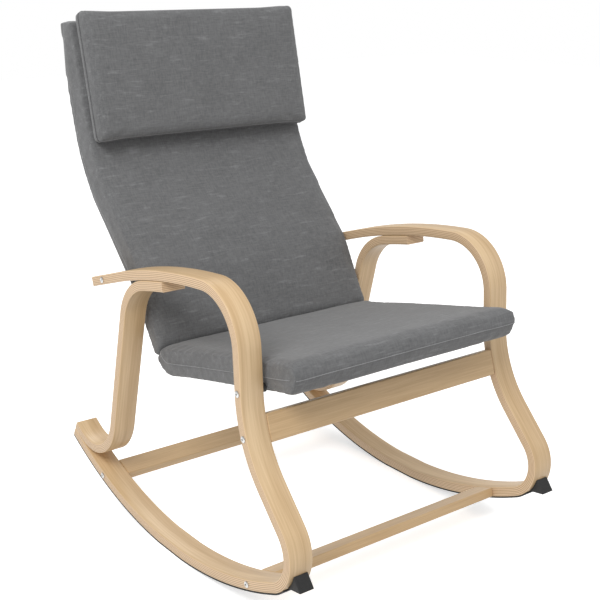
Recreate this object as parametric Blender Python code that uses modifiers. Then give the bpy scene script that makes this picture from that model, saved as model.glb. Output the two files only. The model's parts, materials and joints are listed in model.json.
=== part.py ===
"""Bentwood rocking chair with an upholstered seat unit and a removable head pillow.

Frame: metres, +Z up, the sitter faces -Y, left and right are the sitter's (+X is left).
The origin is on the floor, at the middle of the chair's footprint.
"""
import math

import bmesh
import bpy
from mathutils import Matrix, Vector

# Driving dimensions
CHAIR_WIDTH = 0.640
STRIP_WIDTH = 0.0475
STRIP_THICKNESS = 0.0195
RUBBER_THICKNESS = 0.0025
GAP = 0.0003
EDGE_ROUND = 0.0018

# Rockers: one circle, standing on the short flat under its lowest point
ROCKER_RADIUS = 0.820
ROCKER_Y = -0.0285
ROCKER_FLAT = 0.080
ROCKER_FACET_DEG = 2.1
ROCKER_TAIL_DEG = 29.05
ROCKER_FRONT_DEG = 24.72

# Side loop after the rocker, as (length) or (radius, turn in degrees); a left turn is positive
FOOT_RADIUS = 0.068
FOOT_TURN = -108.2
LOOP_MOVES = [
    (FOOT_RADIUS, FOOT_TURN),
    (0.0795,),
    (0.240, 39.6),
    (0.0737,),
    (0.100, -90.7),
    (0.0115,),
    (1.300, -13.0),
    (0.108,),
]
ARCH_MOVE = 6

# Rear legs
REAR_LEG_FRONT_Y = -0.037
REAR_LEG_POINT = (0.1417, 0.3647)
REAR_LEG_LEAN_DEG = 14.65
REAR_LEG_TOP_RADIUS = 0.105
REAR_LEG_TAIL_RADIUS = 0.105

# Crossbars
FRONT_BAR_HEIGHT = 0.050
FRONT_BAR_Z = 0.337
LOWER_BAR_WIDTH = 0.046
LOWER_BAR_THICKNESS = 0.018
LOWER_BAR_DEG = {"front_lower_crossbar": -18.9, "rear_lower_crossbar": 19.3}

# Rubber stop at the front foot: polar angles about the foot's centre, and how far it stands out
STOP_WIDTH = 0.030
STOP_ARC_DEG = (196.0, 221.0)
STOP_TIP_DEG = 206.0
STOP_TIP_RADIUS = 0.104

# Seat unit: underside and back surface, then the sitter's side, as (y, z, corner radius)
SEAT_WIDTH = 0.529
UNDERSIDE = [
    (-0.3500, 0.4120, 0.0),
    (0.0805, 0.3205, 0.058),
    (0.1855, 0.4720, 0.30),
    (0.3855, 0.6690, 0.38),
    (0.4305, 0.8530, 0.50),
    (0.4375, 0.9830, 0.0),
]
SEAT_FRONT_TOP = (-0.3545, 0.4665)
BACK_FRONT = [
    (0.0805, 0.3780, 0.0),
    (0.1455, 0.5080, 0.25),
    (0.3125, 0.6900, 0.25),
    (0.3515, 0.8000, 0.30),
    (0.3875, 0.9850, 0.0),
]
COVER_THICKNESS = 0.0010
RAIL_WIDTH = 0.025
RAIL_THICKNESS = 0.018
RAIL_START = COVER_THICKNESS + GAP
RAIL_END_INSET = 0.006
CROSS_RAIL_HEIGHT = 0.030
WEB_WIDTH = 0.050
WEB_THICKNESS = 0.0016
WEB_SPAN = 0.510
WEB_START = RAIL_START + RAIL_THICKNESS + GAP
PAD_START = WEB_START + WEB_THICKNESS + 2 * GAP
CROSS_RAILS = {
    "seat_front_rail": 0.030,
    "seat_rear_rail": 0.375,
    "back_top_rail": 1.055,
}
SEAT_WEBS = [0.095, 0.165, 0.235, 0.305]
BACK_WEBS = [0.655, 0.745, 0.835, 0.925]


# The back and the pillow are hollowed to keep the chair's weight low and forward
PAD_SKIN = 0.004
PAD_WALL = 0.009
CORE_START = 0.030
CORE_FACE_START = 0.040
CORE_OVERCUT = 0.010
CORE_EDGE = 0.006

# Head pillow, hung on the back by two mating hook-and-loop strips
PILLOW_SIZE = (0.527, 0.262, 0.042)
PILLOW_BOTTOM_Z = 0.742
PILLOW_LIFT = 0.0042
TAPE_LENGTH = 0.360
TAPE_WIDTH = 0.030
TAPE_THICKNESS = 0.0016
TAPE_DROP = 0.040
ZIP_LENGTH = 0.300
ZIP_WIDTH = 0.008
ZIP_DROP = 0.090
ZIP_EDGE = 0.0005

# Fasteners: M6 furniture bolts
BOLT_RADIUS = 0.003
BOLT_HOLE = 0.0035
HEAD_RADIUS = 0.006
HEAD_HEIGHT = 0.0022
SPACER_RADIUS = 0.008
NUT_RADIUS = 0.005
NUT_LENGTH = 0.013
NUT_INSET = 0.030
BAR_BOLT_DEPTH = 0.040
RAIL_BOLT_DEPTH = 0.021
INSERT_RADIUS = 0.005
INSERT_LENGTH = 0.015
SEAT_BOLT_Z = 0.4055
ARM_BOLT_Y = 0.1978
LEG_FOOT_Z = 0.20
FRONT_BAR_BOLT_DROP = 0.008

INNER_X = CHAIR_WIDTH / 2 - STRIP_WIDTH
LOOP_X = CHAIR_WIDTH / 2 - STRIP_WIDTH / 2
BAR_LENGTH = 2 * (INNER_X - GAP)
FLOOR_TO_CENTRE = RUBBER_THICKNESS + GAP + STRIP_THICKNESS / 2
HALF_FLAT = math.asin(ROCKER_FLAT / 2 / ROCKER_RADIUS)
ROCKER_Z = FLOOR_TO_CENTRE + ROCKER_RADIUS * math.cos(HALF_FLAT)
SIDES = {"left": 1, "right": -1}

COLOURS = {
    "birch": ((0.66, 0.47, 0.28), 0.45, 0.0),
    "frame_wood": ((0.58, 0.42, 0.26), 0.6, 0.0),
    "grey_fabric": ((0.17, 0.17, 0.17), 0.9, 0.0),
    "black_rubber": ((0.02, 0.02, 0.02), 0.7, 0.0),
    "webbing": ((0.05, 0.05, 0.055), 0.85, 0.0),
    "zinc_steel": ((0.62, 0.62, 0.63), 0.35, 1.0),
}


# Scene helpers
def clear_scene():
    for obj in list(bpy.data.objects):
        bpy.data.objects.remove(obj, do_unlink=True)


def make_collection(name):
    collection = bpy.data.collections.new(name)
    bpy.context.scene.collection.children.link(collection)
    return collection


def make_material(name):
    colour, roughness, metallic = COLOURS[name]
    material = bpy.data.materials.new(name)
    material.use_nodes = True
    shader = material.node_tree.nodes["Principled BSDF"]
    shader.inputs["Base Color"].default_value = (*colour, 1.0)
    shader.inputs["Roughness"].default_value = roughness
    shader.inputs["Metallic"].default_value = metallic
    material.diffuse_color = (*colour, 1.0)
    return material


def place(obj, name, material, collection):
    obj.name = name
    obj.data.name = name
    for other in list(obj.users_collection):
        other.objects.unlink(obj)
    collection.objects.link(obj)
    obj.data.materials.clear()
    if material:
        obj.data.materials.append(MATERIALS[material])
    return obj


# Paths in the chair's side view, as lists of (y, z)
def arc_points(centre, radius, start_deg, end_deg, step=0.012):
    count = max(2, math.ceil(abs(math.radians(end_deg - start_deg)) * radius / step))
    angles = [math.radians(start_deg + (end_deg - start_deg) * i / count) for i in range(count + 1)]
    return [(centre[0] + radius * math.cos(a), centre[1] + radius * math.sin(a)) for a in angles]


def trace(start, heading_deg, moves):
    """Walk a path from start; returns its points and the centre of each arc."""
    points = [start]
    centres = []
    heading = heading_deg
    for move in moves:
        y, z = points[-1]
        if len(move) == 1:
            direction = math.radians(heading)
            points.append((y + move[0] * math.cos(direction), z + move[0] * math.sin(direction)))
            centres.append(None)
            continue
        radius, turn = move
        side = 90 if turn > 0 else -90
        to_centre = math.radians(heading + side)
        centre = (y + radius * math.cos(to_centre), z + radius * math.sin(to_centre))
        step = 0.012 if radius < 0.2 else 0.024
        points += arc_points(centre, radius, heading - side, heading - side + turn, step)[1:]
        centres.append(centre)
        heading += turn
    return points, centres


def rounded(corners):
    """Polyline through (y, z, radius) corners, each corner replaced by its arc."""
    points = [corners[0][:2]]
    for before, corner, after in zip(corners, corners[1:], corners[2:]):
        here = Vector(corner[:2])
        back = (Vector(before[:2]) - here).normalized()
        ahead = (Vector(after[:2]) - here).normalized()
        half = back.angle(ahead) / 2
        centre = here + (back + ahead).normalized() * corner[2] / math.sin(half)
        tangent = corner[2] / math.tan(half)
        first = here + back * tangent - centre
        last = here + ahead * tangent - centre
        start = math.degrees(math.atan2(first.y, first.x))
        turn = math.degrees(math.atan2(first.cross(last), first.dot(last)))
        step = 0.012 if corner[2] < 0.2 else 0.024
        points += arc_points(centre, corner[2], start, start + turn, step)
    return points + [corners[-1][:2]]


def offset(points, distance):
    """The path moved to its left by distance."""
    moved = []
    for i, point in enumerate(points):
        here = Vector(point)
        into = (here - Vector(points[i - 1])).normalized() if i else None
        out = (Vector(points[i + 1]) - here).normalized() if i + 1 < len(points) else None
        along = ((into or out) + (out or into)).normalized()
        normal = Vector((-along.y, along.x))
        stretch = along.dot(into or out)
        moved.append(tuple(here + normal * distance / stretch))
    return moved


def span(points, start, end):
    """The part of a path between two distances along it."""
    part = []
    travelled = 0.0
    for a, b in zip(points, points[1:]):
        a, b = Vector(a), Vector(b)
        length = (b - a).length
        if travelled + length > start and travelled < end:
            if not part:
                part.append(tuple(a.lerp(b, max(0.0, (start - travelled) / length))))
            part.append(tuple(a.lerp(b, min(1.0, (end - travelled) / length))))
        travelled += length
    return part


def crossing(points, axis, value, above):
    """Where a path first passes a value of y (axis 0) or z (axis 1), above a height."""
    for a, b in zip(points, points[1:]):
        if a[axis] <= value < b[axis] and min(a[1], b[1]) >= above:
            share = (value - a[axis]) / (b[axis] - a[axis])
            return tuple(Vector(a).lerp(Vector(b), share)), math.radians(bearing(a, b))
    raise ValueError("the path does not pass there")


def fillet_centre(centre, radius, line_point, line_dir, small):
    """Centre of an arc of radius small, inside a circle and touching a line on its left."""
    normal = Vector((-line_dir.y, line_dir.x))
    base = Vector(line_point) + normal * small - Vector(centre)
    b = base.dot(line_dir)
    c = base.length_squared - (radius - small) ** 2
    return Vector(centre) + base + line_dir * (math.sqrt(b * b - c) - b)


def bearing(start, end):
    """Angle in degrees of the way from one (y, z) point to another."""
    return math.degrees(math.atan2(end[1] - start[1], end[0] - start[0]))


# Solids
def side_view_curve(points, half_width, closed):
    """A flat curve drawn in the side view (its X, Y become the chair's Y, Z)."""
    curve = bpy.data.curves.new("outline", "CURVE")
    curve.dimensions = "2D"
    curve.fill_mode = "BOTH" if closed else "NONE"
    curve.extrude = half_width
    spline = curve.splines.new("POLY")
    spline.points.add(len(points) - 1)
    for spot, (y, z) in zip(spline.points, points):
        spot.co = (y, z, 0.0, 1.0)
    spline.use_cyclic_u = closed
    obj = bpy.data.objects.new("outline", curve)
    obj.matrix_world = Matrix(((0, 0, 1, 0), (1, 0, 0, 0), (0, 1, 0, 0), (0, 0, 0, 1)))
    bpy.context.scene.collection.objects.link(obj)
    return obj


def curve_to_mesh(obj, x):
    """Replace a curve object by its mesh, welded, at x across the chair."""
    bpy.context.view_layer.update()
    evaluated = obj.evaluated_get(bpy.context.evaluated_depsgraph_get())
    mesh = bpy.data.meshes.new_from_object(evaluated)
    mesh.transform(Matrix.Translation((x, 0, 0)) @ obj.matrix_world)
    bpy.data.objects.remove(obj, do_unlink=True)
    work = bmesh.new()
    work.from_mesh(mesh)
    bmesh.ops.remove_doubles(work, verts=work.verts, dist=0.00001)
    bmesh.ops.recalc_face_normals(work, faces=work.faces)
    work.to_mesh(mesh)
    work.free()
    solid = bpy.data.objects.new("solid", mesh)
    bpy.context.scene.collection.objects.link(solid)
    return solid


def bevel(obj, width, segments=1):
    modifier = obj.modifiers.new("rounded_edges", "BEVEL")
    modifier.width = width
    modifier.segments = segments
    modifier.limit_method = "ANGLE"
    modifier.angle_limit = math.radians(40)
    return obj


def ribbon(name, material, points, width, thickness, x=0.0, edge=0.0):
    """A laminated strip: its middle line in the side view, its width across the chair."""
    obj = curve_to_mesh(side_view_curve(points, width / 2, False), x)
    place(obj, name, material, CHAIR)
    solidify = obj.modifiers.new("thickness", "SOLIDIFY")
    solidify.thickness = thickness
    solidify.offset = 0.0
    solidify.use_even_offset = True
    if edge:
        bevel(obj, edge)
    return obj


def prism(name, material, outline, width, x=0.0, edge=0.0, segments=1, collection=None):
    """A closed side-view outline with its width across the chair."""
    obj = curve_to_mesh(side_view_curve(outline, width / 2, True), x)
    place(obj, name, material, collection or CHAIR)
    if edge:
        bevel(obj, edge, segments)
    return obj


def board(name, material, size, centre, tilt, edge):
    """A straight board: size is (across, along its tilt, thickness)."""
    bpy.ops.mesh.primitive_cube_add(size=1)
    obj = bpy.context.active_object
    obj.scale = size
    obj.rotation_euler = (tilt, 0, 0)
    obj.location = (0, *centre)
    bpy.ops.object.transform_apply(location=False, rotation=False, scale=True)
    place(obj, name, material, CHAIR)
    return bevel(obj, edge)


def rod(name, material, radius, length, centre, collection, axis="X", tilt=0.0, sides=12):
    """A plain cylinder along X, or along the thickness of a tilted board."""
    bpy.ops.mesh.primitive_cylinder_add(vertices=sides, radius=radius, depth=length)
    obj = bpy.context.active_object
    turn = Matrix.Rotation(math.radians(90), 4, "Y") if axis == "X" else Matrix.Rotation(tilt, 4, "X")
    obj.matrix_world = Matrix.Translation(centre) @ turn
    place(obj, name, material, collection)
    obj.data.shade_smooth()
    obj.data.set_sharp_from_angle(angle=math.radians(40))
    return obj


def combine(obj, other, operation):
    modifier = obj.modifiers.new("join" if operation == "UNION" else "cut", "BOOLEAN")
    modifier.operation = operation
    modifier.object = other
    modifier.solver = "EXACT"


def cutter(obj):
    obj.hide_render = True
    obj.display_type = "WIRE"
    return obj


def bore(targets, radius, x_from, x_to, centre):
    """Drill every target along X, between two distances across the chair."""
    middle = ((x_from + x_to) / 2, *centre)
    hole = cutter(rod("hole", None, radius, abs(x_to - x_from), middle, CUTTERS, sides=16))
    for target in targets:
        combine(target, hole, "DIFFERENCE")


def bolt(name, side, centre, tip_x):
    """An M6 bolt from the outer edge of a side strip inwards to tip_x."""
    outer = CHAIR_WIDTH / 2
    shank_end = outer + HEAD_HEIGHT / 2
    shank_middle = side * (shank_end + tip_x) / 2
    obj = rod(name, "zinc_steel", BOLT_RADIUS, shank_end - tip_x, (shank_middle, *centre), CHAIR)
    head_x = side * (outer + GAP + HEAD_HEIGHT / 2)
    head = rod("head", None, HEAD_RADIUS, HEAD_HEIGHT, (head_x, *centre), CUTTERS, sides=16)
    combine(obj, cutter(head), "UNION")
    return obj


# Side frames
def rocker_angles():
    """Angles about the rocker's centre, tail to front, with one flat under the lowest point."""
    half = math.degrees(HALF_FLAT)
    rear_count = round((ROCKER_TAIL_DEG - half) / ROCKER_FACET_DEG)
    front_count = round((ROCKER_FRONT_DEG - half) / ROCKER_FACET_DEG)
    rear_step = (ROCKER_TAIL_DEG - half) / rear_count
    front_step = (ROCKER_FRONT_DEG - half) / front_count
    rear = [half + i * rear_step for i in range(rear_count, -1, -1)]
    return rear + [-half - i * front_step for i in range(front_count + 1)]


def rocker_point(angle_deg, radius=ROCKER_RADIUS):
    angle = math.radians(angle_deg)
    return (ROCKER_Y + radius * math.sin(angle), ROCKER_Z - radius * math.cos(angle))


def loop_path():
    """Middle line of the side loop, rocker tail to arm tip, with the centre of each arc."""
    rocker = [rocker_point(a) for a in rocker_angles()]
    rest, centres = trace(rocker[-1], 180 - ROCKER_FRONT_DEG, LOOP_MOVES)
    return rocker + rest[1:], centres


def rear_leg_path(arch_centre):
    """From under the arm, down, and back along the rocker's tail."""
    lean = math.radians(REAR_LEG_LEAN_DEG)
    down = Vector((math.sin(lean), -math.cos(lean)))
    arch_radius = LOOP_MOVES[ARCH_MOVE][0] - STRIP_THICKNESS - 2 * GAP
    top = fillet_centre(arch_centre, arch_radius, REAR_LEG_POINT, -down, REAR_LEG_TOP_RADIUS)
    tail_radius = ROCKER_RADIUS - STRIP_THICKNESS - 2 * GAP
    tail_centre = Vector((ROCKER_Y, ROCKER_Z))
    tail = fillet_centre(tail_centre, tail_radius, REAR_LEG_POINT, down, REAR_LEG_TAIL_RADIUS)
    start = math.degrees(math.acos((REAR_LEG_FRONT_Y - arch_centre[0]) / arch_radius))
    meet = bearing(arch_centre, top)
    swing = bearing(tail_centre, tail)
    points = arc_points(arch_centre, arch_radius, start, meet, 0.024)
    points += arc_points(top, REAR_LEG_TOP_RADIUS, meet, REAR_LEG_LEAN_DEG)[1:]
    points += arc_points(tail, REAR_LEG_TAIL_RADIUS, REAR_LEG_LEAN_DEG - 180, swing)
    return points + arc_points(tail_centre, tail_radius, swing, ROCKER_TAIL_DEG - 90)[1:]


def make_stop(name, x):
    """Rubber wedge on the front foot that stops the chair tipping forwards."""
    inner = FOOT_RADIUS + STRIP_THICKNESS / 2 + GAP
    outline = arc_points(FOOT_CENTRE, inner, *STOP_ARC_DEG, step=0.006)
    tip = math.radians(STOP_TIP_DEG)
    outline.append((FOOT_CENTRE[0] + STOP_TIP_RADIUS * math.cos(tip),
                    FOOT_CENTRE[1] + STOP_TIP_RADIUS * math.sin(tip)))
    prism(name, "black_rubber", outline, STOP_WIDTH, x, edge=0.001)


def runner_path():
    """Middle line of the rubber under the rocker, tail to stop."""
    foot_bottom = 270 - ROCKER_FRONT_DEG
    wood = [rocker_point(a) for a in rocker_angles()]
    wood += arc_points(FOOT_CENTRE, FOOT_RADIUS, foot_bottom, STOP_ARC_DEG[1] + 1)[1:]
    return offset(wood, STRIP_THICKNESS / 2 + GAP + RUBBER_THICKNESS / 2)


def make_side(name, side):
    x = side * LOOP_X
    loop = ribbon("side_loop_" + name, "birch", LOOP, STRIP_WIDTH, STRIP_THICKNESS, x, EDGE_ROUND)
    ribbon("rear_leg_" + name, "birch", REAR_LEG, STRIP_WIDTH, STRIP_THICKNESS, x, EDGE_ROUND)
    ribbon("runner_rubber_" + name, "black_rubber", runner_path(), STRIP_WIDTH - 0.001,
           RUBBER_THICKNESS, x)
    make_stop("anti_tip_stop_" + name, x)
    return loop


# Crossbars and their fasteners
def make_bar(name, centre, tilt, height, thickness, bolt_shift, loops):
    """A board between the side loops, held at each end by a bolt and a barrel nut."""
    bar = board(name, "birch", (BAR_LENGTH, height, thickness), centre, tilt, EDGE_ROUND)
    along = Vector((math.cos(tilt), math.sin(tilt)))
    through = Vector((-math.sin(tilt), math.cos(tilt)))
    spot = Vector(centre) - along * bolt_shift
    for side_name, side in SIDES.items():
        outer = CHAIR_WIDTH / 2
        tip = INNER_X - BAR_BOLT_DEPTH
        bore([loops[side_name], bar], BOLT_HOLE, side * (outer + 0.01), side * (tip - 0.003), spot)
        nut_x = side * (INNER_X - NUT_INSET)
        nut_hole_middle = spot - through * (thickness * 0.5)
        pocket = rod("pocket", None, NUT_RADIUS + GAP * 1.5, thickness * 1.75,
                     (nut_x, *nut_hole_middle), CUTTERS, "Z", tilt, sides=16)
        combine(bar, cutter(pocket), "DIFFERENCE")
        nut = rod(f"barrel_nut_{name}_{side_name}", "zinc_steel", NUT_RADIUS, NUT_LENGTH,
                  (nut_x, *spot), CHAIR, "Z", tilt)
        bore([nut], BOLT_HOLE, nut_x - 0.02, nut_x + 0.02, spot)
        bolt(f"bolt_{name}_{side_name}", side, spot, tip)


def make_crossbars(loops):
    centre, tilt = crossing(LOOP, 1, FRONT_BAR_Z, LEG_FOOT_Z)
    make_bar("front_crossbar", centre, tilt, FRONT_BAR_HEIGHT, STRIP_THICKNESS,
             FRONT_BAR_BOLT_DROP, loops)
    for name, angle in LOWER_BAR_DEG.items():
        radius = ROCKER_RADIUS - STRIP_THICKNESS / 2 + LOWER_BAR_THICKNESS / 2
        make_bar(name, rocker_point(angle, radius), math.radians(angle), LOWER_BAR_WIDTH,
                 LOWER_BAR_THICKNESS, 0.0, loops)


# Seat unit
def make_cover():
    """Fabric tray around the frame: underside, back and four walls, open towards the pads."""
    depth = PAD_START - GAP
    outer = BASE + offset(BASE, depth)[::-1]
    cover = prism("frame_cover", "grey_fabric", outer, SEAT_WIDTH)
    inset = span(BASE, COVER_THICKNESS, BASE_LENGTH - COVER_THICKNESS)
    inner = offset(inset, COVER_THICKNESS) + offset(inset, depth + 0.01)[::-1]
    inside = prism("cover_inside", None, inner, SEAT_WIDTH - 2 * COVER_THICKNESS, collection=CUTTERS)
    combine(cover, cutter(inside), "DIFFERENCE")
    return cover


def make_seat_frame(cover, loops):
    """Bentwood side rails, cross rails and elastic webbing, bolted to the side loops."""
    rail_line = offset(BASE, RAIL_START + RAIL_THICKNESS / 2)
    length = path_length(rail_line)
    rail_x = SEAT_WIDTH / 2 - RAIL_START - RAIL_WIDTH / 2
    rails = {}
    for name, side in SIDES.items():
        rails[name] = ribbon("seat_side_rail_" + name, "frame_wood",
                             span(rail_line, RAIL_END_INSET, length - RAIL_END_INSET),
                             RAIL_WIDTH, RAIL_THICKNESS, side * rail_x)
    clear = 2 * (rail_x - RAIL_WIDTH / 2 - GAP)
    for name, start in CROSS_RAILS.items():
        ribbon(name, "frame_wood", span(rail_line, start, start + CROSS_RAIL_HEIGHT),
               clear, RAIL_THICKNESS)
    web_line = offset(BASE, WEB_START + WEB_THICKNESS / 2)
    for kind, starts in (("seat", SEAT_WEBS), ("back", BACK_WEBS)):
        for number, start in enumerate(starts, 1):
            ribbon(f"{kind}_webbing_{number}", "webbing", span(web_line, start, start + WEB_WIDTH),
                   WEB_SPAN, WEB_THICKNESS)
    for name, side in SIDES.items():
        for place_name, spot in SEAT_BOLTS.items():
            fasten_seat(f"{place_name}_{name}", side, spot, rails[name], cover, loops[name])


def fasten_seat(label, side, spot, rail, cover, loop):
    """One seat bolt with its spacer ring and the threaded insert in the side rail."""
    outer = CHAIR_WIDTH / 2
    rail_face = SEAT_WIDTH / 2 - RAIL_START
    tip = rail_face - RAIL_BOLT_DEPTH
    bore([loop, cover, rail], BOLT_HOLE, side * (outer + 0.01), side * (tip - 0.002), spot)
    socket_end = rail_face - INSERT_LENGTH - 2 * GAP
    bore([rail], INSERT_RADIUS + GAP * 1.5, side * (rail_face + 0.0005), side * socket_end, spot)
    insert_x = side * (rail_face - GAP - INSERT_LENGTH / 2)
    insert = rod("insert_nut_" + label, "zinc_steel", INSERT_RADIUS, INSERT_LENGTH,
                 (insert_x, *spot), CHAIR, sides=16)
    bore([insert], BOLT_HOLE, insert_x - 0.02, insert_x + 0.02, spot)
    spacer_from = SEAT_WIDTH / 2 + GAP
    spacer_to = INNER_X - GAP
    spacer_x = side * (spacer_from + spacer_to) / 2
    spacer = rod("spacer_" + label, "black_rubber", SPACER_RADIUS, spacer_to - spacer_from,
                 (spacer_x, *spot), CHAIR, sides=16)
    bore([spacer], BOLT_HOLE, spacer_x - 0.02, spacer_x + 0.02, spot)
    bolt("bolt_seat_" + label, side, spot, tip)


def make_pads():
    """Padded seat and back, each one closed shape on top of the webbing."""
    line = offset(BASE, PAD_START)
    turn = [i for i, p in enumerate(BASE) if p[0] > UNDERSIDE[1][0] - 0.01][0] + 1
    junction = BACK_FRONT[0][:2]
    seat_top = (junction[0] - 0.0006, junction[1] - 0.0002)
    seat = line[:turn + 1] + [seat_top, SEAT_FRONT_TOP]
    prism("seat_pad", "grey_fabric", seat, SEAT_WIDTH, edge=0.006)
    front = rounded(BACK_FRONT)
    back = line[turn:] + front[::-1]
    back[0] = (back[0][0] + 0.0005, back[0][1] + 0.0005)
    back_pad = prism("back_pad", "grey_fabric", back, SEAT_WIDTH, edge=0.006)
    rear = line[turn:]
    rear_run = span(rear, CORE_START, path_length(rear) - PAD_WALL)
    face_run = span(front, CORE_FACE_START, path_length(front) - PAD_WALL)
    hollow(back_pad, offset(rear_run, -CORE_OVERCUT) + offset(face_run, -PAD_SKIN)[::-1])
    return front


def hollow(pad, outline):
    """Take the core out of a pad from behind, which lightens the top of the chair."""
    core = prism("core", None, outline, SEAT_WIDTH - 2 * PAD_WALL, collection=CUTTERS)
    combine(pad, cutter(core), "DIFFERENCE")


def make_pillow(front):
    """Head pillow and its tapes, resting square on the straight top of the back."""
    foot = Vector(crossing(front, 1, PILLOW_BOTTOM_Z, LEG_FOOT_Z)[0])
    head = Vector(front[-1])
    up = (head - foot).normalized()
    out = Vector((-up.y, up.x))
    tilt = math.atan2(up.y, up.x)
    width, height, thickness = PILLOW_SIZE
    centre = foot + up * height / 2 + out * (PILLOW_LIFT + thickness / 2)
    pillow = board("head_pillow", "grey_fabric", PILLOW_SIZE, centre, tilt, 0.010)
    pillow.modifiers["rounded_edges"].segments = 2
    core_size = (width - 2 * PAD_WALL, height - 2 * PAD_WALL, thickness - 2 * PAD_SKIN)
    core = board("pillow_core", None, core_size, centre, tilt, CORE_EDGE)
    zip_size = (ZIP_LENGTH, ZIP_WIDTH, thickness)
    zip_spot = centre - out * PAD_SKIN - up * ZIP_DROP
    zip_cut = board("zip_cut", None, zip_size, zip_spot, tilt, ZIP_EDGE)
    for piece in (core, zip_cut):
        CHAIR.objects.unlink(piece)
        CUTTERS.objects.link(piece)
        combine(pillow, cutter(piece), "DIFFERENCE")
    tape = (TAPE_LENGTH, TAPE_WIDTH, TAPE_THICKNESS)
    loop = head - up * TAPE_DROP + out * (PILLOW_LIFT - GAP - TAPE_THICKNESS / 2)
    board("loop_tape", "webbing", tape, loop, tilt, 0.0002)
    back_up = (head - Vector(front[-2])).normalized()
    back_out = Vector((-back_up.y, back_up.x))
    hook = head - back_up * TAPE_DROP + back_out * (GAP + TAPE_THICKNESS / 2)
    board("hook_tape", "webbing", tape, hook, math.atan2(back_up.y, back_up.x), 0.0002)


def path_length(points):
    return sum((Vector(b) - Vector(a)).length for a, b in zip(points, points[1:]))


clear_scene()
CHAIR = make_collection("rocking_chair")
CUTTERS = make_collection("cutters")
MATERIALS = {name: make_material(name) for name in COLOURS}

LOOP, LOOP_CENTRES = loop_path()
FOOT_CENTRE = LOOP_CENTRES[0]
REAR_LEG = rear_leg_path(LOOP_CENTRES[ARCH_MOVE])
BASE = rounded(UNDERSIDE)
BASE_LENGTH = path_length(BASE)
SEAT_BOLTS = {
    "front": crossing(LOOP, 1, SEAT_BOLT_Z, LEG_FOOT_Z)[0],
    "rear": crossing(LOOP, 0, ARM_BOLT_Y, SEAT_BOLT_Z)[0],
}

LOOPS = {}
for side_name, side_sign in SIDES.items():
    LOOPS[side_name] = make_side(side_name, side_sign)
make_crossbars(LOOPS)
COVER = make_cover()
make_seat_frame(COVER, LOOPS)
make_pillow(make_pads())
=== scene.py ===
import json
import math

import bmesh
import bpy
from mathutils import Matrix, Vector
from mathutils.bvhtree import BVHTree


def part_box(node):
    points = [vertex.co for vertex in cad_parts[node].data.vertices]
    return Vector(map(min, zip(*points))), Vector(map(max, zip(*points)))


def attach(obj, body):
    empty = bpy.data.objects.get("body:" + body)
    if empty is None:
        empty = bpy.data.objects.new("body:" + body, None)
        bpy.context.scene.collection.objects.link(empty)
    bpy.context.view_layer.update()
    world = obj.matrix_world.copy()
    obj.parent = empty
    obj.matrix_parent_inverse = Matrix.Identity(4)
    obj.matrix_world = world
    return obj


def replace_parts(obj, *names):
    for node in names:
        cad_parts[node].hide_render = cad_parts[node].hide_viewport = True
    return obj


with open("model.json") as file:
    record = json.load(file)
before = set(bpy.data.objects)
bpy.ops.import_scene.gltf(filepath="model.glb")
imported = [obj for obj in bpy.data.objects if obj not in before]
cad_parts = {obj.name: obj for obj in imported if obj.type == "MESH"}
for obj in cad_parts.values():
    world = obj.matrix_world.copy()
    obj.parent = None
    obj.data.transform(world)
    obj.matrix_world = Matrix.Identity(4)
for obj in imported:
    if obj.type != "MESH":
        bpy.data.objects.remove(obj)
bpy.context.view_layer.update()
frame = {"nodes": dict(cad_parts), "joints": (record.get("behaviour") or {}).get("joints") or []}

# Bent strips, as in the design
CHAIR_WIDTH = 0.640
STRIP_WIDTH = 0.0475
STRIP_THICKNESS = 0.0195
STRIP_X = (CHAIR_WIDTH - STRIP_WIDTH) / 2
STRIP_EDGE = 0.0022
PLIES = 6
GAP = 0.0003
RUBBER_THICKNESS = 0.0025
ROCKER_RADIUS = 0.820
ROCKER_Y = -0.0285
ROCKER_FLAT = 0.080
ROCKER_TAIL_DEG = 29.05
ROCKER_FRONT_DEG = 24.72
HALF_FLAT = math.asin(ROCKER_FLAT / 2 / ROCKER_RADIUS)
FLOOR_TO_CENTRE = RUBBER_THICKNESS + GAP + STRIP_THICKNESS / 2
ROCKER_Z = FLOOR_TO_CENTRE + ROCKER_RADIUS * math.cos(HALF_FLAT)
FOOT_RADIUS = 0.068
LOOP_MOVES = [(FOOT_RADIUS, -108.2), (0.0795,), (0.240, 39.6), (0.0737,),
              (0.100, -90.7), (0.0115,), (1.300, -13.0), (0.108,)]
ARCH_MOVE = 6
RUBBER_END_DEG = 222.0
REAR_LEG_FRONT_Y = -0.037
REAR_LEG_POINT = (0.1417, 0.3647)
REAR_LEG_LEAN_DEG = 14.65
REAR_LEG_RADIUS = 0.105

# Upholstery: side-view corners as (y, z, corner radius)
SEAT_WIDTH = 0.529
BASE = [(-0.3500, 0.4120, 0.0), (0.0805, 0.3205, 0.058), (0.1855, 0.4720, 0.30),
        (0.3855, 0.6690, 0.38), (0.4305, 0.8530, 0.50), (0.4375, 0.9830, 0.0)]
SEAT_NOSE = [(-0.3640, 0.4430), (-0.3560, 0.4630), (-0.3400, 0.4650)]
BACK_FRONT = [(0.0805, 0.3780, 0.0), (0.1455, 0.5080, 0.25), (0.3125, 0.6900, 0.25),
              (0.3515, 0.8000, 0.30), (0.3875, 0.9850, 0.0)]
# The foot of the back overlaps the seat here, so that no gap shows between them
BACK_TUCK = [(0.0870, 0.3500), (0.1060, 0.3540)]
PILLOW_SIZE = (0.527, 0.262, 0.042)
PILLOW_EDGE = 0.008
SEAT_END = (0.1166, 0.3731)
SPLIT_HALF_GAP = 0.0010

# Cushions are drawn a little small, blown up as cloth, and no point moves further than SWELL
SHRINK = 0.0010
SWELL = 0.0042
VOXEL = 0.005
SMOOTHINGS = 5
PRESSURE = 4.0
CLOTH_FRAMES = 20
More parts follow.
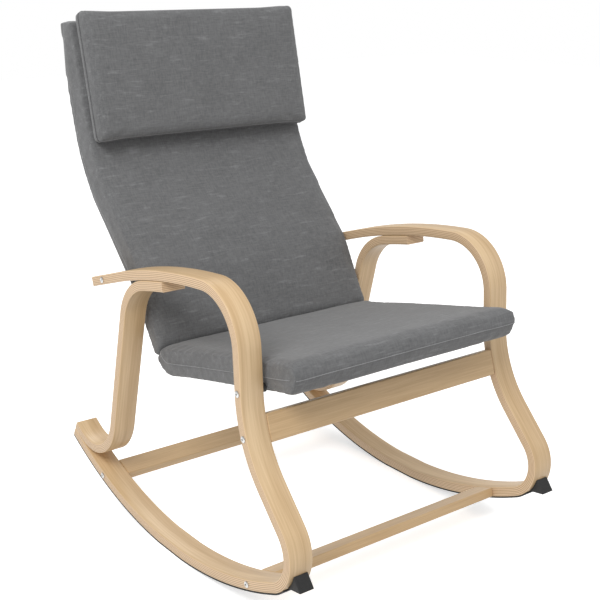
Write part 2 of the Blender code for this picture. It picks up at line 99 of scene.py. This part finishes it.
# Wood rails inside the upholstery, which the cushions stand for
SEAT_RAILS = ["seat_front_rail", "seat_rear_rail"]
LONG_RAILS = ["seat_side_rail_left", "seat_side_rail_right", "back_top_rail"]

# Seams: radius of the thread and the piping, and how far each seam lies from its cushion's underside
STITCH = 0.0008
PIPING = 0.0014
SEAT_SEAM_UP = 0.026
BACK_SEAM_IN = 0.018
SEAM_REACH = 0.020
SEAM_STEP = 0.010
HALF_SEAM_COUNT = 26
PIPING_COUNT = 40

# Bolt heads
HEAD_HEIGHT = 0.0022
DOME = 0.0012
CROWN = 0.0003
SHANK_RADIUS = 0.0028
SOCKET_DEPTH = 0.0018
SOCKET_SHARE = 0.42
BOLT_SIDES = 24

# Camera
TARGET = Vector((0.0, -0.0245, 0.4511))
AZIMUTH_DEG = -37.092
ELEVATION_DEG = 16.781
DISTANCE = 2.199
LENS = 66.2

# Light: each lamp's name, place, size and power
LAMPS = [("key", (-2.2, -1.2, 2.8), 1.6, 62), ("fill", (2.6, -1.6, 1.8), 2.5, 10),
         ("back", (0.6, 2.6, 2.6), 2.0, 24)]
SKY_LIGHT = 0.62
FLOOR_GLOW = 0.56
FLOOR_REACH = 9


# Materials
def new_material(name, roughness):
    material = bpy.data.materials.new(name)
    material.use_nodes = True
    shader = material.node_tree.nodes["Principled BSDF"]
    shader.inputs["Roughness"].default_value = roughness
    return material, shader


def node(material, kind, **values):
    made = material.node_tree.nodes.new(kind)
    for key, value in values.items():
        made.inputs[key.replace("_", " ")].default_value = value
    return made


def link(material, start, end):
    material.node_tree.links.new(start, end)


def coordinates(material, source, scale):
    """Texture coordinates in metres times scale; source is 'Object' or a UV map's name."""
    if source == "Object":
        start = node(material, "ShaderNodeTexCoord").outputs["Object"]
    else:
        uv = node(material, "ShaderNodeUVMap")
        uv.uv_map = source
        start = uv.outputs["UV"]
    mapping = node(material, "ShaderNodeMapping", Scale=scale)
    link(material, start, mapping.inputs["Vector"])
    return mapping.outputs["Vector"]


def noise(material, source, scale, detail=4.0):
    made = node(material, "ShaderNodeTexNoise", Scale=1.0, Detail=detail, Roughness=0.6)
    link(material, coordinates(material, source, scale), made.inputs["Vector"])
    return made.outputs["Fac"]


def ramp(material, value, stops):
    made = node(material, "ShaderNodeValToRGB")
    elements = made.color_ramp.elements
    while len(elements) < len(stops):
        elements.new(0.5)
    for element, (place, colour) in zip(elements, stops):
        element.position = place
        element.color = (*colour, 1.0)
    link(material, value, made.inputs["Fac"])
    return made.outputs["Color"]


def mix(material, kind, amount, first, second):
    made = node(material, "ShaderNodeMixRGB")
    made.blend_type = kind
    made.inputs["Fac"].default_value = amount
    link(material, first, made.inputs["Color1"])
    link(material, second, made.inputs["Color2"])
    return made.outputs["Color"]


def bump(material, shader, height, strength, distance):
    made = node(material, "ShaderNodeBump", Strength=strength, Distance=distance)
    link(material, height, made.inputs["Height"])
    link(material, made.outputs["Normal"], shader.inputs["Normal"])


def wood(name, source, fine, broad, light, dark):
    """Lacquered pale wood: fine pores along the grain, over slow bands of colour."""
    material, shader = new_material(name, 0.42)
    shader.inputs["Coat Weight"].default_value = 0.12
    shader.inputs["Coat Roughness"].default_value = 0.3
    pores = noise(material, source, fine)
    tone = ramp(material, noise(material, source, broad, 3.0), [(0.32, dark), (0.68, light)])
    fleck = ramp(material, pores, [(0.35, (0.84, 0.80, 0.74)), (0.62, (1.0, 1.0, 1.0))])
    link(material, mix(material, "MULTIPLY", 0.75, tone, fleck), shader.inputs["Base Color"])
    bump(material, shader, pores, 0.12, 0.0004)
    return material


def laminated_edge():
    """The strip's cut side: thin plies, turn about, with faint glue lines."""
    material, shader = new_material("birch_edge", 0.5)
    wave = node(material, "ShaderNodeTexWave", Scale=1.0, Distortion=0.6, Detail=2.0)
    wave.bands_direction = "Y"
    period = 2 * math.pi / 20
    step = period * PLIES / STRIP_THICKNESS
    link(material, coordinates(material, "grain", (3.0, step, 1.0)), wave.inputs["Vector"])
    plies = ramp(material, wave.outputs["Fac"], [(0.05, (0.42, 0.25, 0.13)), (0.35, (0.80, 0.59, 0.38))])
    streak = ramp(material, noise(material, "grain", (14.0, 900.0, 1.0)),
                  [(0.3, (0.86, 0.84, 0.80)), (0.7, (1.0, 1.0, 1.0))])
    link(material, mix(material, "MULTIPLY", 0.6, plies, streak), shader.inputs["Base Color"])
    bump(material, shader, wave.outputs["Fac"], 0.1, 0.0003)
    return material


def fabric(name, dark, light):
    """Plain-woven heather cloth, with slubs along both threads."""
    material, shader = new_material(name, 0.92)
    shader.inputs["Sheen Weight"].default_value = 0.25
    shader.inputs["Sheen Roughness"].default_value = 0.5
    weft = noise(material, "Object", (60.0, 420.0, 420.0))
    warp = noise(material, "Object", (420.0, 80.0, 80.0))
    cloud = noise(material, "Object", (14.0, 14.0, 14.0), 3.0)
    slub = noise(material, "Object", (22.0, 130.0, 130.0), 2.0)
    middle = tuple((a + b) / 2 for a, b in zip(dark, light))
    threads = mix(material, "MIX", 0.5, ramp(material, weft, [(0.3, dark), (0.7, light)]),
                  ramp(material, warp, [(0.3, dark), (0.7, light)]))
    patches = ramp(material, cloud, [(0.3, dark), (0.7, middle)])
    marks = ramp(material, slub, [(0.58, (1.0, 1.0, 1.0)), (0.74, (1.35, 1.35, 1.35))])
    cloth = mix(material, "MIX", 0.3, threads, patches)
    link(material, mix(material, "MULTIPLY", 1.0, cloth, marks), shader.inputs["Base Color"])
    bump(material, shader, threads, 0.35, 0.0008)
    return material


def grainy(name, dark, light, scale, roughness, metallic=0.0, strength=0.15):
    """Rubber, steel or webbing: two tones and a fine relief."""
    material, shader = new_material(name, roughness)
    shader.inputs["Metallic"].default_value = metallic
    grain = noise(material, "Object", scale)
    link(material, ramp(material, grain, [(0.3, dark), (0.7, light)]), shader.inputs["Base Color"])
    bump(material, shader, grain, strength, 0.0004)
    return material


BIRCH = wood("birch_face", "grain", (7.0, 300.0, 1.0), (1.8, 34.0, 1.0),
             (0.78, 0.575, 0.345), (0.60, 0.405, 0.21))
BIRCH_EDGE = laminated_edge()
BIRCH_BAR = wood("birch_bar", "Object", (9.0, 420.0, 420.0), (2.2, 26.0, 26.0),
                 (0.72, 0.51, 0.29), (0.59, 0.40, 0.21))
FRAME_WOOD = wood("frame_wood", "Object", (30.0, 60.0, 60.0), (4.0, 12.0, 12.0),
                  (0.60, 0.44, 0.28), (0.50, 0.36, 0.22))
FABRIC = fabric("grey_fabric", (0.085, 0.086, 0.088), (0.205, 0.207, 0.210))
PIPE_FABRIC = fabric("piping_fabric", (0.070, 0.071, 0.073), (0.150, 0.152, 0.155))
SEAM_FABRIC = fabric("seam_fabric", (0.20, 0.202, 0.205), (0.32, 0.323, 0.327))
RUBBER = grainy("black_rubber", (0.010, 0.010, 0.010), (0.020, 0.020, 0.020), (400, 400, 400), 0.65)
WEBBING = grainy("webbing", (0.030, 0.030, 0.032), (0.070, 0.070, 0.074), (60, 900, 900), 0.9,
                 strength=0.5)
STEEL = grainy("zinc_steel", (0.50, 0.50, 0.49), (0.68, 0.68, 0.67), (200, 900, 900), 0.3, 1.0)

for name, cad in frame["nodes"].items():
    if "crossbar" in name and "nut" not in name and "bolt" not in name:
        chosen = BIRCH_BAR
    elif name.endswith("rail") or "_rail_" in name:
        chosen = FRAME_WOOD
    elif "webbing" in name or "tape" in name:
        chosen = WEBBING
    elif "nut" in name or "bolt" in name:
        chosen = STEEL
    else:
        chosen = RUBBER
    cad.data.materials.clear()
    cad.data.materials.append(chosen)


# Paths in the side view, as lists of Vector((y, z))
def arc(centre, radius, start_deg, end_deg, step=0.005):
    count = max(3, math.ceil(abs(math.radians(end_deg - start_deg)) * radius / step))
    angles = [math.radians(start_deg + (end_deg - start_deg) * i / count) for i in range(count + 1)]
    return [Vector(centre) + radius * Vector((math.cos(a), math.sin(a))) for a in angles]


def trace(start, heading, moves):
    """Walk straights and arcs from start; returns the points and each arc's centre."""
    points = [start]
    centres = []
    for move in moves:
        if len(move) == 1:
            angle = math.radians(heading)
            points.append(points[-1] + move[0] * Vector((math.cos(angle), math.sin(angle))))
            centres.append(None)
            continue
        radius, turn = move
        side = 90 if turn > 0 else -90
        angle = math.radians(heading + side)
        centre = points[-1] + radius * Vector((math.cos(angle), math.sin(angle)))
        points += arc(centre, radius, heading - side, heading - side + turn)[1:]
        centres.append(centre)
        heading += turn
    return points, centres


def rounded(corners):
    """Polyline through (y, z, radius) corners, each corner replaced by its arc."""
    points = [Vector(corners[0][:2])]
    for before, corner, after in zip(corners, corners[1:], corners[2:]):
        here = Vector(corner[:2])
        back = (Vector(before[:2]) - here).normalized()
        ahead = (Vector(after[:2]) - here).normalized()
        half = back.angle(ahead) / 2
        centre = here + (back + ahead).normalized() * corner[2] / math.sin(half)
        first = here + back * corner[2] / math.tan(half) - centre
        last = here + ahead * corner[2] / math.tan(half) - centre
        start = math.degrees(math.atan2(first.y, first.x))
        turn = math.degrees(math.atan2(first.x * last.y - first.y * last.x, first.dot(last)))
        points += arc(centre, corner[2], start, start + turn, 0.010)
    return points + [Vector(corners[-1][:2])]


def normals(points):
    """Unit normals to the left of an open path."""
    found = []
    for i in range(len(points)):
        along = points[min(i + 1, len(points) - 1)] - points[max(i - 1, 0)]
        found.append(Vector((-along.y, along.x)).normalized())
    return found


def offset(points, distance):
    return [p + n * distance for p, n in zip(points, normals(points))]


def fillet(centre, radius, point, direction, small):
    """Centre of an arc of radius small, inside a circle and touching a line on its left."""
    base = Vector(point) + Vector((-direction.y, direction.x)) * small - Vector(centre)
    b = base.dot(direction)
    reach = math.sqrt(b * b - base.length_squared + (radius - small) ** 2) - b
    return Vector(centre) + base + direction * reach


def bearing(start, end):
    return math.degrees(math.atan2(end.y - start.y, end.x - start.x))


ROCKER_CENTRE = Vector((ROCKER_Y, ROCKER_Z))
HALF_FLAT_DEG = math.degrees(HALF_FLAT)
ROCKER = (arc(ROCKER_CENTRE, ROCKER_RADIUS, ROCKER_TAIL_DEG - 90, HALF_FLAT_DEG - 90)
          + arc(ROCKER_CENTRE, ROCKER_RADIUS, -HALF_FLAT_DEG - 90, -ROCKER_FRONT_DEG - 90))
TRACED, CENTRES = trace(ROCKER[-1], 180 - ROCKER_FRONT_DEG, LOOP_MOVES)
LOOP = ROCKER + TRACED[1:]


def rear_leg_path():
    """From under the arm, down, and back along the rocker's tail."""
    arch = CENTRES[ARCH_MOVE]
    lean = math.radians(REAR_LEG_LEAN_DEG)
    down = Vector((math.sin(lean), -math.cos(lean)))
    arch_radius = LOOP_MOVES[ARCH_MOVE][0] - STRIP_THICKNESS - 2 * GAP
    tail_radius = ROCKER_RADIUS - STRIP_THICKNESS - 2 * GAP
    top = fillet(arch, arch_radius, REAR_LEG_POINT, -down, REAR_LEG_RADIUS)
    tail = fillet(ROCKER_CENTRE, tail_radius, REAR_LEG_POINT, down, REAR_LEG_RADIUS)
    start = math.degrees(math.acos((REAR_LEG_FRONT_Y - arch.x) / arch_radius))
    meet = bearing(arch, top)
    swing = bearing(ROCKER_CENTRE, tail)
    points = arc(arch, arch_radius, start, meet)
    points += arc(top, REAR_LEG_RADIUS, meet, REAR_LEG_LEAN_DEG)[1:]
    points += arc(tail, REAR_LEG_RADIUS, REAR_LEG_LEAN_DEG - 180, swing)
    return points + arc(ROCKER_CENTRE, tail_radius, swing, ROCKER_TAIL_DEG - 90)[1:]


def runner_path():
    foot = arc(CENTRES[0], FOOT_RADIUS, 270 - ROCKER_FRONT_DEG, RUBBER_END_DEG)
    return offset(ROCKER + foot[1:], STRIP_THICKNESS / 2 + GAP + RUBBER_THICKNESS / 2)


# Pieces
def add(name, mesh, body, materials):
    piece = bpy.data.objects.new(name, mesh)
    bpy.context.scene.collection.objects.link(piece)
    for material in materials:
        mesh.materials.append(material)
    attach(piece, body)
    return piece


def strip(name, path, width, thickness, x, edge, materials):
    """A bent strip, its grain map in metres along it and across the face or through the plies."""
    corners = [(1, 1, 0), (-1, 1, 90), (-1, -1, 180), (1, -1, 270)]
    section = []
    for sx, sd, start in corners:
        for i in range(4):
            angle = math.radians(start + 30 * i)
            section.append((sx * (width / 2 - edge) + edge * math.cos(angle),
                            sd * (thickness / 2 - edge) + edge * math.sin(angle)))
    work = bmesh.new()
    uv = work.loops.layers.uv.new("grain")
    travelled = 0.0
    lengths = []
    rings = []
    for i, (point, normal) in enumerate(zip(path, normals(path))):
        travelled += (point - path[i - 1]).length if i else 0.0
        lengths.append(travelled)
        rings.append([work.verts.new((x + sx, point.x + normal.x * d, point.y + normal.y * d))
                      for sx, d in section])
    count = len(section)
    for i in range(len(rings) - 1):
        for k in range(count):
            m = (k + 1) % count
            face = work.faces.new((rings[i][k], rings[i][m], rings[i + 1][m], rings[i + 1][k]))
            across = abs(section[m][0] - section[k][0]) < abs(section[m][1] - section[k][1])
            face.material_index = int(across and len(materials) > 1)
            for loop, (ring, spot) in zip(face.loops, ((i, k), (i, m), (i + 1, m), (i + 1, k))):
                loop[uv].uv = (lengths[ring] + x, section[spot][1] if across else section[spot][0])
    for ring in (rings[0], rings[-1]):
        cap = work.faces.new(ring)
        cap.material_index = len(materials) - 1
        for loop, (sx, d) in zip(cap.loops, section):
            loop[uv].uv = (sx, d)
    bmesh.ops.recalc_face_normals(work, faces=work.faces)
    mesh = bpy.data.meshes.new(name)
    work.to_mesh(mesh)
    work.free()
    mesh.shade_smooth()
    mesh.set_sharp_from_angle(angle=math.radians(35))
    return add(name, mesh, "chair", materials)


def furniture_bolt(cad_name):
    """Domed head with a hexagon socket, on its shank, turned about the bolt's own axis."""
    low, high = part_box(cad_name)
    side = 1 if high.x > 0 else -1
    outer = high.x if side > 0 else -low.x
    tip = low.x if side > 0 else -high.x
    head_radius = (high.y - low.y) / 2
    middle = (low + high) / 2
    head_base = outer - HEAD_HEIGHT
    socket = head_radius * SOCKET_SHARE
    profile = [(tip, 0.0), (tip, SHANK_RADIUS), (head_base, SHANK_RADIUS), (head_base, head_radius),
               (outer - DOME, head_radius), (outer - CROWN, head_radius * 0.8),
               (outer, socket * 1.1), (outer - 0.0001, socket), (outer - SOCKET_DEPTH, socket),
               (outer - SOCKET_DEPTH, 0.0)]
    work = bmesh.new()
    rings = []
    for place, radius in profile:
        rings.append([])
        for i in range(BOLT_SIDES):
            angle = 2 * math.pi * i / BOLT_SIDES
            reach = radius
            if radius == socket:
                reach *= math.cos(math.pi / 6) / math.cos((angle % (math.pi / 3)) - math.pi / 6)
            rings[-1].append(work.verts.new((side * place, middle.y + reach * math.cos(angle),
                                             middle.z + reach * math.sin(angle))))
    for a, b in zip(rings, rings[1:]):
        for i in range(BOLT_SIDES):
            k = (i + 1) % BOLT_SIDES
            work.faces.new((a[i], a[k], b[k], b[i]))
    bmesh.ops.remove_doubles(work, verts=work.verts, dist=0.00001)
    bmesh.ops.recalc_face_normals(work, faces=work.faces)
    mesh = bpy.data.meshes.new(cad_name + "_detail")
    work.to_mesh(mesh)
    work.free()
    mesh.shade_smooth()
    mesh.set_sharp_from_angle(angle=math.radians(35))
    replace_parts(add(cad_name + "_detail", mesh, "chair", [STEEL]), cad_name)


for side_name, side in (("left", 1), ("right", -1)):
    x = side * STRIP_X
    for node_name, path in (("side_loop_", LOOP), ("rear_leg_", rear_leg_path())):
        made = strip(node_name + side_name + "_bent", path, STRIP_WIDTH, STRIP_THICKNESS, x,
                     STRIP_EDGE, [BIRCH, BIRCH_EDGE])
        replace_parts(made, node_name + side_name)
    rubber = strip("runner_rubber_" + side_name + "_smooth", runner_path(), STRIP_WIDTH - 0.001,
                   RUBBER_THICKNESS, x, 0.0006, [RUBBER])
    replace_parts(rubber, "runner_rubber_" + side_name)
for name in sorted(frame["nodes"]):
    if name.startswith("bolt_"):
        furniture_bolt(name)


# Upholstery
def prism(name, outline, width):
    """Closed block of that side-view outline, its middle at x = 0."""
    work = bmesh.new()
    face = work.faces.new([work.verts.new((-width / 2, p.x, p.y)) for p in outline])
    made = bmesh.ops.extrude_face_region(work, geom=[face])
    moved = [g for g in made["geom"] if isinstance(g, bmesh.types.BMVert)]
    bmesh.ops.translate(work, verts=moved, vec=(width, 0, 0))
    bmesh.ops.recalc_face_normals(work, faces=work.faces)
    mesh = bpy.data.meshes.new(name)
    work.to_mesh(mesh)
    work.free()
    return mesh


def apply_all(piece):
    bpy.context.view_layer.update()
    graph = bpy.context.evaluated_depsgraph_get()
    mesh = bpy.data.meshes.new_from_object(piece.evaluated_get(graph))
    piece.modifiers.clear()
    piece.data = mesh


def stuff(piece, limit):
    """Swell a block into a cushion: remesh, blow up as cloth, cap each point's move."""
    remesh = piece.modifiers.new("remesh", "REMESH")
    remesh.mode = "VOXEL"
    remesh.voxel_size = VOXEL
    apply_all(piece)
    smooth = piece.modifiers.new("smooth", "SMOOTH")
    smooth.factor = 0.5
    smooth.iterations = SMOOTHINGS
    apply_all(piece)
    before = [v.co.copy() for v in piece.data.vertices]
    cloth = piece.modifiers.new("cloth", "CLOTH")
    cloth.settings.use_pressure = True
    cloth.settings.uniform_pressure_force = PRESSURE
    cloth.settings.effector_weights.gravity = 0.0
    cloth.settings.quality = 4
    cloth.collision_settings.use_collision = False
    scene = bpy.context.scene
    for number in range(1, CLOTH_FRAMES + 1):
        scene.frame_set(number)
    apply_all(piece)
    scene.frame_set(1)
    for vertex, start in zip(piece.data.vertices, before):
        move = vertex.co - start
        if move.length > limit:
            vertex.co = start + move.normalized() * limit


def dress(name, mesh, body, limit, nodes):
    """Make a block into a finished cushion on a body, in place of those CAD nodes."""
    piece = bpy.data.objects.new(name, mesh)
    bpy.context.scene.collection.objects.link(piece)
    stuff(piece, limit)
    fine = piece.modifiers.new("fine", "SUBSURF")
    fine.levels = 1
    fine.render_levels = 1
    apply_all(piece)
    piece.data.materials.clear()
    piece.data.materials.append(FABRIC)
    piece.data.shade_smooth()
    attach(piece, body)
    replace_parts(piece, *nodes)
    return piece


def sew(name, piece, points, body, cyclic, material, radius=STITCH):
    """Piping or a sewn line laid on the surface of a cushion along points."""
    work = bmesh.new()
    work.from_mesh(piece.data)
    tree = BVHTree.FromBMesh(work)
    curve = bpy.data.curves.new(name, "CURVE")
    curve.dimensions = "3D"
    curve.bevel_depth = radius
    curve.bevel_resolution = 2
    spline = curve.splines.new("POLY")
    spline.points.add(len(points) - 1)
    for spot, point in zip(spline.points, points):
        found, normal, _, _ = tree.find_nearest(point)
        spot.co = (*(found + normal * radius * 0.35), 1.0)
    spline.use_cyclic_u = cyclic
    work.free()
    add(name, curve, body, [material])


def resample(points, step):
    spread = []
    for a, b in zip(points, points[1:]):
        count = max(1, round((b - a).length / step))
        spread += [a.lerp(b, i / count) for i in range(count)]
    return spread + [points[-1]]


UNDER = rounded(BASE)
FRONT = rounded(BACK_FRONT)
SPLIT = min(range(len(UNDER)), key=lambda i: (UNDER[i] - Vector(SEAT_END)).length)
SEAT_OUTLINE = UNDER[:SPLIT + 1] + [FRONT[0] - Vector((SPLIT_HALF_GAP, 0))]
SEAT_OUTLINE += [Vector(p) for p in reversed(SEAT_NOSE)]
BACK_OUTLINE = UNDER[SPLIT + 1:] + FRONT[::-1] + [Vector(p) for p in BACK_TUCK]


def inset(outline, distance):
    """A closed outline drawn in by distance, towards its middle."""
    area = sum(a.x * b.y - a.y * b.x for a, b in zip(outline, outline[1:] + outline[:1]))
    sign = 1 if area > 0 else -1
    drawn = []
    for i, point in enumerate(outline):
        along = (outline[(i + 1) % len(outline)] - outline[i - 1]).normalized()
        drawn.append(point + Vector((-along.y, along.x)) * sign * distance)
    return drawn


CUSHION_WIDTH = SEAT_WIDTH + 2 * SHRINK
seat = dress("seat_cushion", prism("seat_cushion", inset(SEAT_OUTLINE, SHRINK), CUSHION_WIDTH),
             "chair", SWELL, ["seat_pad"] + SEAT_RAILS)
back = dress("back_cushion", prism("back_cushion", inset(BACK_OUTLINE, SHRINK), CUSHION_WIDTH),
             "chair", SWELL, ["back_pad", "frame_cover"] + LONG_RAILS)

# The boxing seam along each cushion's sides, across the seat's front and across the back's top
under_run = resample(UNDER[:SPLIT + 1], SEAM_STEP)
back_run = resample(UNDER[SPLIT + 1:], SEAM_STEP)
for side_name, side in (("left", 1), ("right", -1)):
    face_x = side * SEAT_WIDTH / 2
    seam = [Vector((face_x, p.x, p.y)) for p in offset(under_run, SEAT_SEAM_UP)]
    sew("seat_seam_" + side_name, seat, seam, "chair", False, SEAM_FABRIC)
    seam = [Vector((face_x, p.x, p.y)) for p in offset(back_run, BACK_SEAM_IN)]
    sew("back_seam_" + side_name, back, seam, "chair", False, SEAM_FABRIC)
front_line = offset(under_run, SEAT_SEAM_UP)[0]
across = [SEAT_WIDTH / 2 * (i / HALF_SEAM_COUNT - 1) for i in range(2 * HALF_SEAM_COUNT + 1)]
seam = [Vector((x, front_line.x - SEAM_REACH, front_line.y)) for x in across]
sew("seat_seam_front", seat, seam, "chair", False, SEAM_FABRIC)
top_line = offset(back_run, BACK_SEAM_IN)[-1]
seam = [Vector((x, top_line.x, top_line.y + SEAM_REACH)) for x in across]
sew("back_seam_top", back, seam, "chair", False, SEAM_FABRIC)


# Head pillow
def make_pillow():
    """A thin swollen pillow, flat against the back, with piping round its edge."""
    out = Vector(frame["joints"][0]["axis"]).normalized()
    across = Vector((1, 0, 0))
    up = out.cross(across).normalized()
    up = up if up.z > 0 else -up
    low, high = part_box("head_pillow")
    middle = (low + high) / 2
    width, height, thickness = PILLOW_SIZE
    turn = Matrix((across, up, out)).transposed().to_4x4()
    work = bmesh.new()
    bmesh.ops.create_cube(work, size=1.0)
    for vertex in work.verts:
        vertex.co = Vector((vertex.co.x * width, vertex.co.y * height, vertex.co.z * thickness))
    bmesh.ops.bevel(work, geom=work.edges[:], offset=PILLOW_EDGE, segments=3, profile=0.5,
                    affect="EDGES")
    bmesh.ops.transform(work, matrix=Matrix.Translation(middle) @ turn, verts=work.verts)
    mesh = bpy.data.meshes.new("pillow")
    work.to_mesh(mesh)
    work.free()
    pillow = dress("pillow_cushion", mesh, "pillow", SWELL, ["head_pillow"])
    for vertex in pillow.data.vertices:
        behind = (vertex.co - middle).dot(out) + PILLOW_SIZE[2] / 2
        if behind < 0:
            vertex.co -= out * behind
    rim = []
    for a, b in (((-1, -1), (1, -1)), ((1, -1), (1, 1)), ((1, 1), (-1, 1)), ((-1, 1), (-1, -1))):
        for i in range(PIPING_COUNT):
            u = a[0] + (b[0] - a[0]) * i / PIPING_COUNT
            v = a[1] + (b[1] - a[1]) * i / PIPING_COUNT
            rim.append(middle + across * u * PILLOW_SIZE[0] / 2 + up * v * PILLOW_SIZE[1] / 2)
    sew("pillow_piping", pillow, rim, "pillow", True, PIPE_FABRIC, PIPING)


make_pillow()


# Floor, light and camera
def plain_material(name, colour):
    material, shader = new_material(name, 0.9)
    tone = noise(material, "Object", (3.0, 3.0, 3.0))
    pale = tuple(c * 0.99 for c in colour)
    link(material, ramp(material, tone, [(0.3, pale), (0.7, colour)]), shader.inputs["Base Color"])
    return material


floor_mesh = bpy.data.meshes.new("floor")
floor_corners = [(x * FLOOR_REACH, y * FLOOR_REACH, 0) for x, y in ((-1, -1), (1, -1), (1, 1), (-1, 1))]
floor_mesh.from_pydata(floor_corners, [], [(0, 1, 2, 3)])
floor_material = plain_material("floor", (0.93, 0.93, 0.93))
floor_shader = floor_material.node_tree.nodes["Principled BSDF"]
floor_shader.inputs["Emission Color"].default_value = (1.0, 1.0, 1.0, 1.0)
floor_shader.inputs["Emission Strength"].default_value = FLOOR_GLOW
floor_mesh.materials.append(floor_material)
floor = bpy.data.objects.new("floor", floor_mesh)
bpy.context.scene.collection.objects.link(floor)
# The floor shows and takes shadows, but throws no light up at the chair
floor.visible_diffuse = False


def area_light(name, place, size, power):
    light = bpy.data.lights.new(name, "AREA")
    light.shape = "DISK"
    light.size = size
    light.energy = power
    lamp = bpy.data.objects.new(name, light)
    lamp.location = place
    lamp.rotation_euler = (TARGET - Vector(place)).to_track_quat("-Z", "Y").to_euler()
    bpy.context.scene.collection.objects.link(lamp)


for lamp_values in LAMPS:
    area_light(*lamp_values)

# The camera sees a white world; everything else is lit by SKY_LIGHT
world = bpy.data.worlds.new("studio")
world.use_nodes = True
shine = world.node_tree.nodes["Background"]
shine.inputs["Color"].default_value = (1.0, 1.0, 1.0, 1.0)
shine.inputs["Strength"].default_value = SKY_LIGHT
seen = world.node_tree.nodes.new("ShaderNodeBackground")
seen.inputs["Color"].default_value = (1.0, 1.0, 1.0, 1.0)
either = world.node_tree.nodes.new("ShaderNodeMixShader")
rays = world.node_tree.nodes.new("ShaderNodeLightPath")
world.node_tree.links.new(rays.outputs["Is Camera Ray"], either.inputs["Fac"])
world.node_tree.links.new(shine.outputs["Background"], either.inputs[1])
world.node_tree.links.new(seen.outputs["Background"], either.inputs[2])
world.node_tree.links.new(either.outputs["Shader"],
                          world.node_tree.nodes["World Output"].inputs["Surface"])
bpy.context.scene.world = world
bpy.context.scene.view_settings.view_transform = "Standard"

azimuth = math.radians(AZIMUTH_DEG)
elevation = math.radians(ELEVATION_DEG)
back_way = Vector((math.sin(azimuth) * math.cos(elevation), -math.cos(azimuth) * math.cos(elevation),
                   math.sin(elevation)))
camera_data = bpy.data.cameras.new("camera")
camera_data.lens = LENS
camera_data.sensor_width = 36.0
camera = bpy.data.objects.new("camera", camera_data)
camera.location = TARGET + back_way * DISTANCE
camera.rotation_euler = (-back_way).to_track_quat("-Z", "Y").to_euler()
bpy.context.scene.collection.objects.link(camera)
bpy.context.scene.camera = camera
